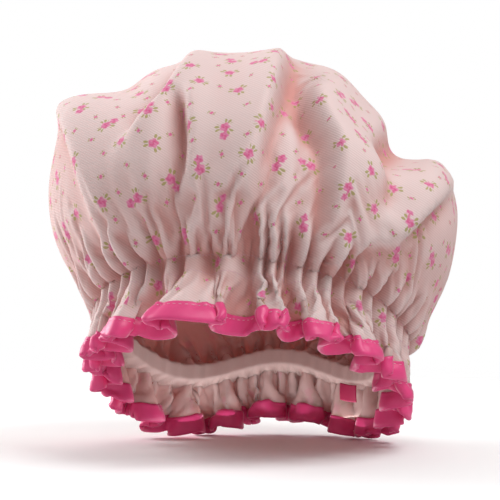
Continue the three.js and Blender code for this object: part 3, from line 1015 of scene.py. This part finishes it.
class Wire:
    """An output socket that takes part in sums as a number does."""

    def __init__(self, socket):
        self.socket = socket
        self.tree = socket.id_data

    @staticmethod
    def add(tree, kind, settings=None, values=None, output=0):
        """Adds any shader node: its settings first, then the values or links of its inputs."""
        node = tree.nodes.new("ShaderNode" + kind)
        for name, value in (settings or {}).items():
            setattr(node, name, value)
        for name, value in (values or {}).items():
            if isinstance(value, Wire):
                tree.links.new(value.socket, node.inputs[name])
            else:
                node.inputs[name].default_value = value
        return Wire(node.outputs[output])

    def out(self, name):
        """Another output of the same node."""
        return Wire(self.socket.node.outputs[name])

    def maths(self, operation, *others):
        """A maths node with this wire as its first value."""
        values = dict(enumerate((self, *others)))
        return Wire.add(self.tree, "Math", {"operation": operation}, values)

    def flipped(self, operation, other):
        """A maths node with this wire as its second value."""
        return Wire.add(self.tree, "Math", {"operation": operation}, {0: other, 1: self})

    def __add__(self, other):
        return self.maths("ADD", other)

    __radd__ = __add__

    def __sub__(self, other):
        return self.maths("SUBTRACT", other)

    def __rsub__(self, other):
        return self.flipped("SUBTRACT", other)

    def __mul__(self, other):
        return self.maths("MULTIPLY", other)

    __rmul__ = __mul__

    def __truediv__(self, other):
        return self.maths("DIVIDE", other)

    def __rtruediv__(self, other):
        return self.flipped("DIVIDE", other)

    def __neg__(self):
        return self * -1

    def smooth(self, start, end):
        """Goes smoothly from 0 at start to 1 at end."""
        values = {"Value": self, "From Min": start, "From Max": end}
        return Wire.add(self.tree, "MapRange", {"interpolation_type": "SMOOTHSTEP"}, values)

    def mix(self, first, second):
        """A colour between two, by this wire's share of the second."""
        values = {0: self, 6: first, 7: second}
        return Wire.add(self.tree, "Mix", {"data_type": "RGBA"}, values, 2)


def rgba(value, strength=1.0):
    """A colour, or a darker shade of it, with full opacity."""
    return (*(Vector(value) * strength), 1.0)


def empty_tree(holder):
    """The emptied node tree of a material or a world."""
    holder.use_nodes = True
    holder.node_tree.nodes.clear()
    return holder.node_tree


def new_tree(name):
    """A material with an empty node tree."""
    material = bpy.data.materials.new(name)
    return material, empty_tree(material)


def mix_shaders(tree, share, first, second):
    """A shader between two, by the share of the second."""
    return Wire.add(tree, "MixShader", None, {0: share, 1: first, 2: second})


def by_camera(tree, unseen, seen):
    """One shader for the camera's own rays, and another for all other light."""
    camera_ray = Wire.add(tree, "LightPath", None, None, "Is Camera Ray")
    return mix_shaders(tree, camera_ray, unseen, seen)


def ripple(place, pitch):
    """A sine wave along a place."""
    return (place * (FULL_TURN / pitch)).maths("SINE")


def end_tree(tree, shader, kind="Material"):
    """Links a shader to the output of a material's or a world's tree."""
    tree.links.new(shader.socket, tree.nodes.new("ShaderNodeOutput" + kind).inputs["Surface"])


def attribute(tree, name, output="Fac"):
    """An attribute of the mesh."""
    return Wire.add(tree, "Attribute", {"attribute_name": name}, None, output)


def object_place(tree):
    """The place in the object's own coordinates, in metres."""
    return Wire.add(tree, "TexCoord", None, None, "Object")


def flat_place(tree, layer):
    """The place on a piece laid flat, in metres."""
    return Wire.add(tree, "UVMap", {"uv_map": layer})


def parted(vector):
    """The first part of a vector. The others are the outputs Y and Z of the same node."""
    return Wire.add(vector.tree, "SeparateXYZ", None, {"Vector": vector})


def noise(place, scale, dimensions="2D"):
    """Soft noise from 0 to 1."""
    settings = {"noise_dimensions": dimensions}
    return Wire.add(place.tree, "TexNoise", settings, {"Vector": place, "Scale": scale})


def bump(height, distance, strength=1.0):
    """A normal that is tilted by a height."""
    values = {"Strength": strength, "Distance": distance, "Height": height}
    return Wire.add(height.tree, "Bump", None, values)


def finish_cloth(tree, base, glow, relief, roughness, sheen, see_through, depth):
    """Ends a cloth's tree: a rough surface with a weave, which lets light of its glow colour through."""
    values = {"Base Color": base, "Roughness": roughness, "Normal": bump(relief, depth),
              "Sheen Weight": sheen, "Sheen Roughness": 0.4, "Specular IOR Level": 0.25}
    surface = Wire.add(tree, "BsdfPrincipled", None, values)
    light = Wire.add(tree, "BsdfTranslucent", None, {"Color": rgba(glow)})
    end_tree(tree, mix_shaders(tree, see_through, surface, light))


def motif_place(tree, name):
    """Angle and distance inside the nearest motif, and the motif's random number."""
    across = parted(attribute(tree, name, "Vector"))
    angle = across.out("Y").maths("ARCTAN2", across)
    return angle, across.out("Z"), attribute(tree, name + "_chance")


def blossom(angle, reach, radius):
    """Cover of a scalloped rose, and how light its petals are."""
    edge = radius + radius * SCALLOP_DEPTH * (angle * SCALLOPS).maths("SINE")
    winding = (reach * (PETAL_WINDING / radius) + angle * PETAL_ARMS).maths("SINE")
    petals = winding * PETAL_LIGHT + reach / radius * RIM_LIGHT + HEART_LIGHT
    return reach.smooth(edge, edge - radius * SOFT_RIM), petals


def leaf_cover(angle, reach, radius, clusters, phase):
    """Cover of the small leaves that stand in clusters round a blossom, two to a cluster."""
    lobes = (angle * (4 * clusters)).maths("COSINE") * 0.5 + 0.5
    cluster = (angle * clusters + phase).maths("COSINE")
    away = (reach / radius - LEAF_RING) / LEAF_SPAN
    return (lobes - away * away).smooth(*LEAF_EDGE) * cluster.smooth(*CLUSTER_EDGE)


def rose_print(tree, scene, ground):
    """The ditsy rose print on a ground colour: roses alone or in pairs, and buds between them."""
    sizes = scene.cap_print
    radius = sizes.rose
    dark, light, green = rgba(sizes.petal), rgba(sizes.petal_light), rgba(sizes.leaf)
    painted = ground
    for name, size, clusters in (("bud", sizes.bud, 2), ("rose", radius, 3)):
        angle, reach, chance = motif_place(tree, name)
        leaves = leaf_cover(angle, reach, size, clusters, chance * FULL_TURN)
        painted = (leaves * LEAF_STRENGTH).mix(painted, green)
    for name, size in (("bud", sizes.bud), ("mate", radius * MATE_SIZE), ("rose", radius)):
        angle, reach, _ = motif_place(tree, name)
        cover, petals = blossom(angle, reach, size)
        painted = cover.mix(painted, petals.mix(dark, light))
    return painted


def printed_cloth(scene):
    """Pale pink twill with a small rose print, painted shade in its folds and ribs, and painted light on
    top.
    """
    material, tree = new_tree("printed_twill")
    colours = scene.cap_print
    values = {0: object_place(tree), 1: RIB_SLOPE}
    slope = Wire.add(tree, "VectorMath", {"operation": "DOT_PRODUCT"}, values, "Value")
    ribs = ripple(slope, colours.rib) * attribute(tree, "ribbed").smooth(*RIB_RANGE)
    # Painted shade in the hollows of the folds, and paler painted light where the cloth faces up.
    share = attribute(tree, "hollow").smooth(*PAINTED_SHADE_RANGE)
    painted = rose_print(tree, scene, share.mix(rgba(colours.ground), rgba(colours.hollow)))
    # Painted shade in the lines between the ribs of the twill.
    grooves = 0.5 - ribs * 0.5
    painted = (grooves * RIB_SHADE).mix(painted, rgba(colours.hollow, 0.5))
    finish_cloth(
        tree, painted, colours.glow, ribs, roughness=0.75, sheen=0.2, see_through=0.3,
        depth=0.05 * MM,
    )
    return material


def lining_film(scene):
    """Pale coated film, through which the print shows faintly."""
    material, tree = new_tree("coated_film")
    colours = scene.cap_print
    ground = rgba(colours.lining)
    values = {0: FAINT_PRINT, 6: ground, 7: rose_print(tree, scene, ground)}
    faint = Wire.add(tree, "Mix", {"data_type": "RGBA"}, values, 2)
    grain = noise(flat_place(tree, "cut"), scale=900.0)
    finish_cloth(
        tree, faint, colours.lining_glow, grain, roughness=0.45, sheen=0.0, see_through=0.65,
        depth=0.1 * MM,
    )
    return material


def satin(name, shade):
    """Satin tape: smooth along its length, with fine threads across it."""
    material, tree = new_tree(name)
    place = flat_place(tree, "flat")
    pitch = 0.6 * MM
    floats = ripple(parted(place).out("Y"), pitch)
    cloud = noise(place, scale=160.0)
    relief = bump(floats * 0.3 + cloud, distance=0.08 * MM, strength=0.3)
    values = {"Base Color": cloud.mix(rgba(shade, 0.88), rgba(shade)),
              "Roughness": cloud * 0.16 + 0.32, "Normal": relief,
              "Sheen Weight": 0.5, "Sheen Roughness": 0.3, "Sheen Tint": (1.0, 0.6, 0.78, 1.0),
              "Specular IOR Level": 0.6, "Specular Tint": (1.0, 0.8, 0.9, 1.0), "Anisotropic": 0.4}
    end_tree(tree, Wire.add(tree, "BsdfPrincipled", None, values))
    return material


def plain_tape(name, shade, pitch):
    """Plain woven tape: threads along and across."""
    material, tree = new_tree(name)
    across = parted(flat_place(tree, "flat"))
    weave = ripple(across, pitch) * ripple(across.out("Y"), pitch)
    base = (weave * 0.5 + 0.5).mix(rgba(shade, 0.9), rgba(shade))
    finish_cloth(tree, base, shade, weave, roughness=0.75, sheen=0.1, see_through=0.15, depth=0.1 * MM)
    return material


def spun_thread(shade):
    """Sewing thread with a slight change of shade along it."""
    material, tree = new_tree("spun_thread")
    twist = noise(object_place(tree), scale=2500.0, dimensions="3D")
    relief = bump(twist, distance=0.1 * MM, strength=0.5)
    values = {"Base Color": twist.mix(rgba(shade, 0.85), rgba(shade)),
              "Roughness": twist * 0.2 + 0.4, "Normal": relief, "Sheen Weight": 0.2}
    end_tree(tree, Wire.add(tree, "BsdfPrincipled", None, values))
    return material


# Operators

class CAP_OT_shell(bpy.types.Operator):
    """Make the printed shell: gather the round of cloth on the band and let it settle"""

    bl_idname = "cap.shell"
    bl_label = "Shell"

    def execute(self, context):
        scene = context.scene
        cloth = gathered_cloth(scene)
        mesh = round_mesh(scene, SHELL, cloth, lift=0.0, hem_ring=1.0)
        # Marks where the painted shade of the folds and the paler painted light on top go.
        mark_painted_shade(mesh)
        mark_ribs(mesh)
        for name, motifs in print_motifs(scene, mesh).items():
            stamp(mesh, name, motifs)
        thickness = scene.cap_cloth.shell_thickness
        add_piece(scene, mesh, "outer_shell", printed_cloth(scene), thickness)
        return {"FINISHED"}


class CAP_OT_lining(bpy.types.Operator):
    """Make the waterproof lining inside the shell"""

    bl_idname = "cap.lining"
    bl_label = "Lining"

    def execute(self, context):
        scene = context.scene
        sizes = scene.cap_cloth
        lift = -(sizes.shell_thickness / 2 + sizes.gap + sizes.lining_thickness / 2)
        hem_ring = 1 - MM / sizes.radius
        mesh = round_mesh(scene, LINING, made_cloth(), lift, hem_ring)
        for name, motifs in print_motifs(scene, bpy.data.objects[SHELL].data).items():
            stamp(mesh, name, motifs)
        shade = lining_film(scene)
        add_piece(scene, mesh, "waterproof_lining", shade, sizes.lining_thickness)
        return {"FINISHED"}


class CAP_OT_binding(bpy.types.Operator):
    """Make the satin binding, folded over the hem"""

    bl_idname = "cap.binding"
    bl_label = "Binding"

    def execute(self, context):
        scene = context.scene
        sizes = scene.cap_cloth
        width = scene.cap_frill.binding
        cloth = made_cloth()
        puckers = 290
        pucker_depth = 0.12 * MM
        pucker_spread = 1.2
        front = sizes.shell_thickness / 2 + sizes.gap + sizes.tape_thickness / 2
        back = front + sizes.gap + sizes.lining_thickness
        puff = 0.4 * MM
        # distance below the hem and lift, along the tape from its upper outer edge round the hem
        fold = np.array([
            (-width, front), (-0.92 * width, front + 0.5 * puff), (-0.8 * width, front),
            (-0.5 * width, front + puff), (-0.2 * width, front + puff),
            (-0.03 * width, front + 0.6 * puff), (0.7 * MM, 0.4 * front), (0.8 * MM, -0.5 * back),
            (0.0, -back), (-0.3 * width, -back - 0.5 * puff), (-0.65 * width, -back), (-width, -back),
        ])
        bends = len(fold) - 1
        stitched_bend = 2

        def place(run, row):
            steps = row * bends
            below = np.interp(steps, np.arange(bends + 1), fold[:, 0])
            lift = np.interp(steps, np.arange(bends + 1), fold[:, 1])
            pucker = pucker_depth * np.sin(run * puckers * FULL_TURN)
            pucker = pucker * np.exp(-(((steps - stitched_bend) / pucker_spread) ** 2))
            return cloth.at(run * FULL_TURN, 1 + below / sizes.radius, lift + pucker)

        flat = (FULL_TURN * sizes.radius, 2 * width)
        mesh = strip_mesh("binding_tape", faces=(864, 2 * bends), place=place, size=flat, closed=True)
        shade = satin("satin_tape", scene.cap_print.satin)
        add_piece(scene, mesh, "hem_binding", shade, sizes.tape_thickness)
        return {"FINISHED"}


class CAP_OT_elastic(bpy.types.Operator):
    """Make the elastic and the casing tape that holds it"""

    bl_idname = "cap.elastic"
    bl_label = "Elastic and casing"

    def execute(self, context):
        scene = context.scene
        sizes = scene.cap_cloth
        band = scene.cap_band
        cloth = made_cloth()
        ring_length = math.pi * (band.width + band.depth) / 2
        inner = sizes.tape_thickness + sizes.gap
        lap = math.radians(14)
        lap_start = math.radians(180)

        def place_elastic(run, row):
            turn = lap_start + run * (FULL_TURN + lap)
            step_out = np.clip((1 - run) * FULL_TURN / lap, 0, 1)
            step_out = (band.elastic_thickness + sizes.gap) * step_out
            lift = inner + band.elastic_thickness / 2 + step_out
            return on_band(scene, turn, lift, (row - 0.5) * band.elastic_width)

        flat = (ring_length, band.elastic_width)
        mesh = strip_mesh("elastic_tape", faces=(260, 4), place=place_elastic, size=flat, closed=False)
        shade = plain_tape("elastic_weave", scene.cap_print.elastic, pitch=1.2 * MM)
        add_piece(scene, mesh, "elastic_band", shade, band.elastic_thickness)
        seam = 1.5 * MM
        start = crown_cloth(scene) - seam
        width = band.tunnel + 2 * seam
        behind = sizes.shell_thickness / 2 + 2 * sizes.gap + sizes.lining_thickness
        behind = behind + sizes.tape_thickness / 2
        ease = 0.35 * MM
        sewn_part = (0.34, 0.46)

        def place_casing(run, row):
            angle = run * FULL_TURN
            pleats = pleats_at(np.mod(angle, FULL_TURN))
            axial = band.tunnel / 2 + seam - row * width
            lift = sizes.tape_thickness / 2 + ease + ease * pleats.gather
            tape = on_band(scene, pleats.turn, lift, axial)
            sewn = cloth.at(angle, (start + row * width) / sizes.radius, -behind)
            share = smoothstep(np.abs(row - 0.5), *sewn_part)[:, None]
            return between(tape, sewn, share)

        flat = (ring_length, width)
        mesh = strip_mesh("casing_tape", faces=(528, 14), place=place_casing, size=flat, closed=True)
        shade = plain_tape("casing_weave", scene.cap_print.casing, pitch=0.9 * MM)
        add_piece(scene, mesh, "elastic_casing", shade, sizes.tape_thickness)
        return {"FINISHED"}


class CAP_OT_label(bpy.types.Operator):
    """Make the bare label inside the back of the frill"""

    bl_idname = "cap.label"
    bl_label = "Label"

    def execute(self, context):
        scene = context.scene
        band = scene.cap_band
        frill = scene.cap_frill
        middle = math.radians(144)
        half_turn = frill.label_width / band.depth
        top = -band.tunnel / 2 - 1.2 * MM

        def place(run, row):
            turn = middle + (run - 0.5) * 2 * half_turn
            curl = 1.2 * MM * row**2 + 0.5 * MM * np.sin(run * math.pi) * row
            return on_band(scene, turn, 1.0 * MM + curl, top - row * frill.label_drop)

        flat = (frill.label_width, frill.label_drop)
        mesh = strip_mesh("label_patch", faces=(18, 12), place=place, size=flat, closed=False)
        shade = satin("label_satin", scene.cap_print.label)
        thickness = scene.cap_cloth.tape_thickness
        add_piece(scene, mesh, "blank_label", shade, thickness)
        return {"FINISHED"}


class CAP_OT_stitches(bpy.types.Operator):
    """Make the rows of stitches on the casing and on the binding"""

    bl_idname = "cap.stitches"
    bl_label = "Stitches"

    def execute(self, context):
        scene = context.scene
        sizes = scene.cap_cloth
        band = scene.cap_band
        cloth = made_cloth()
        thread = spun_thread(scene.cap_print.thread)
        on_shell = sizes.shell_thickness / 2 + sizes.thread / 4
        on_tape = sizes.shell_thickness / 2 + sizes.gap + sizes.tape_thickness + sizes.thread / 4
        upper = crown_cloth(scene)
        tape_edge = sizes.radius - 0.8 * scene.cap_frill.binding
        rows = {
            "upper_casing_thread": ("upper_casing_stitch", upper, on_shell),
            "lower_casing_thread": ("lower_casing_stitch", upper + band.tunnel, on_shell),
            "binding_thread": ("binding_topstitch", tape_edge, on_tape),
        }
        for name, (node, reach, lift) in rows.items():
            mesh = stitch_row(scene, name, cloth, reach, lift)
            add_piece(scene, mesh, node, thread)
        return {"FINISHED"}


class CAP_OT_sheets(bpy.types.Operator):
    bl_idname = "cap.sheets"
    bl_label = "Declare sheets"

    def execute(self, context):
        return {"FINISHED"}


class CAP_OT_stage(bpy.types.Operator):
    """Make the floor, the light and the camera"""

    bl_idname = "cap.stage"
    bl_label = "Stage"

    def execute(self, context):
        scene = context.scene
        stage = scene.cap_stage
        self.add_floor(scene)
        self.add_sky(scene, stage)
        middle = Vector((0, 0, 0.05))
        for name, place in LAMPS.items():
            power = getattr(stage, name + "_light")
            self.add_lamp(scene, name, Vector(place), middle, power, LAMP_SIZE)
        below = Vector((0, 0.02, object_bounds()[0][2] + 4 * MM))
        self.add_lamp(scene, "under", below, middle, stage.under_light, UNDER_LAMP_SIZE)
        self.add_camera(scene, stage)
        scene.view_settings.view_transform = "Standard"
        return {"FINISHED"}

    @staticmethod
    def add_floor(scene):
        """A plain pale floor under the lowest point of the hem, which fades into the background."""
        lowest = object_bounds()[0][2]
        fade = (0.35, 0.75)
        bm = bmesh.new()
        bmesh.ops.create_grid(bm, x_segments=1, y_segments=1, size=4.0)
        bmesh.ops.translate(bm, verts=bm.verts, vec=(0, 0, lowest - 0.2 * MM))
        mesh = to_mesh(bm, "floor")
        material, tree = new_tree("floor")
        white = Wire.add(tree, "BsdfDiffuse", None, {"Color": (0.94, 0.97, 0.975, 1.0)})
        grey = Wire.add(tree, "BsdfDiffuse", None, {"Color": (0.80, 0.80, 0.80, 1.0)})
        surface = by_camera(tree, grey, white)
        values = {0: object_place(tree)}
        away = Wire.add(tree, "VectorMath", {"operation": "LENGTH"}, values, "Value")
        clear = Wire.add(tree, "BsdfTransparent")
        end_tree(tree, mix_shaders(tree, away.smooth(*fade), surface, clear))
        mesh.materials.append(material)
        floor = add_object(scene, "floor", mesh)
        floor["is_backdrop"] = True

    @staticmethod
    def add_sky(scene, stage):
        """Soft white light all round, and a white background for the camera."""
        world = bpy.data.worlds.new("studio")
        tree = empty_tree(world)
        light = Wire.add(tree, "Background", None, {"Color": (1.0, 0.90, 0.88, 1), "Strength": stage.sky})
        white = Wire.add(tree, "Background", None, {"Color": (1, 1, 1, 1), "Strength": 1.0})
        end_tree(tree, by_camera(tree, light, white), "World")
        scene.world = world

    @staticmethod
    def add_lamp(scene, name, place, target, power, size):
        """A soft square lamp that looks at the target."""
        light = bpy.data.lights.new(name, "AREA")
        light.energy = power
        light.size = size
        lamp = add_object(scene, name, light)
        lamp.location = place
        lamp.visible_camera = False
        lamp.rotation_euler = (target - place).to_track_quat("-Z", "Y").to_euler()

    @staticmethod
    def add_camera(scene, stage):
        """The camera, at the picture's viewing angle."""
        sensor = 36.0
        data = bpy.data.cameras.new("camera")
        data.sensor_width = sensor
        data.lens = sensor * stage.distance / stage.picture
        level = math.cos(stage.elevation)
        toward = Vector((
            math.sin(stage.azimuth) * level, -math.cos(stage.azimuth) * level, math.sin(stage.elevation)
        ))
        target = Vector((math.cos(stage.azimuth), math.sin(stage.azimuth), 0)) * stage.across
        target.z = stage.up
        camera = add_object(scene, "camera", data)
        camera.location = target + toward * stage.distance
        camera.rotation_euler = (-toward).to_track_quat("-Z", "Y").to_euler()
        scene.camera = camera


OPERATORS = [
    CAP_OT_shell, CAP_OT_lining, CAP_OT_binding, CAP_OT_elastic, CAP_OT_label, CAP_OT_stitches,
    CAP_OT_sheets, CAP_OT_stage,
]


class CAP_PT_sidebar(bpy.types.Panel):
    """The cap's sizes and the steps that make it."""

    bl_label = "Shower Cap"
    bl_idname = "CAP_PT_sidebar"
    bl_space_type = "VIEW_3D"
    bl_region_type = "UI"
    bl_category = "Cap"

    def draw(self, context):
        for group_name in PROPERTY_GROUPS:
            group = getattr(context.scene, group_name)
            box = self.layout.box()
            for name in group.__annotations__:
                box.prop(group, name)
        for operator in OPERATORS:
            self.layout.operator(operator.bl_idname)


def register():
    """Adds the add-on's classes and its properties of the scene."""
    for group_name, group in PROPERTY_GROUPS.items():
        bpy.utils.register_class(group)
        setattr(bpy.types.Scene, group_name, bpy.props.PointerProperty(type=group))
    for operator in OPERATORS:
        bpy.utils.register_class(operator)
    bpy.utils.register_class(CAP_PT_sidebar)


def unregister():
    """Takes the add-on's classes and properties away again."""
    bpy.utils.unregister_class(CAP_PT_sidebar)
    for operator in reversed(OPERATORS):
        bpy.utils.unregister_class(operator)
    for group_name, group in PROPERTY_GROUPS.items():
        delattr(bpy.types.Scene, group_name)
        bpy.utils.unregister_class(group)


def main():
    """Makes the cap and its stage."""
    register()
    bpy.ops.cap.shell()
    bpy.ops.cap.lining()
    bpy.ops.cap.binding()
    bpy.ops.cap.elastic()
    bpy.ops.cap.label()
    bpy.ops.cap.stitches()
    bpy.ops.cap.sheets()
    bpy.ops.cap.stage()


if __name__ == "__main__":
    main()
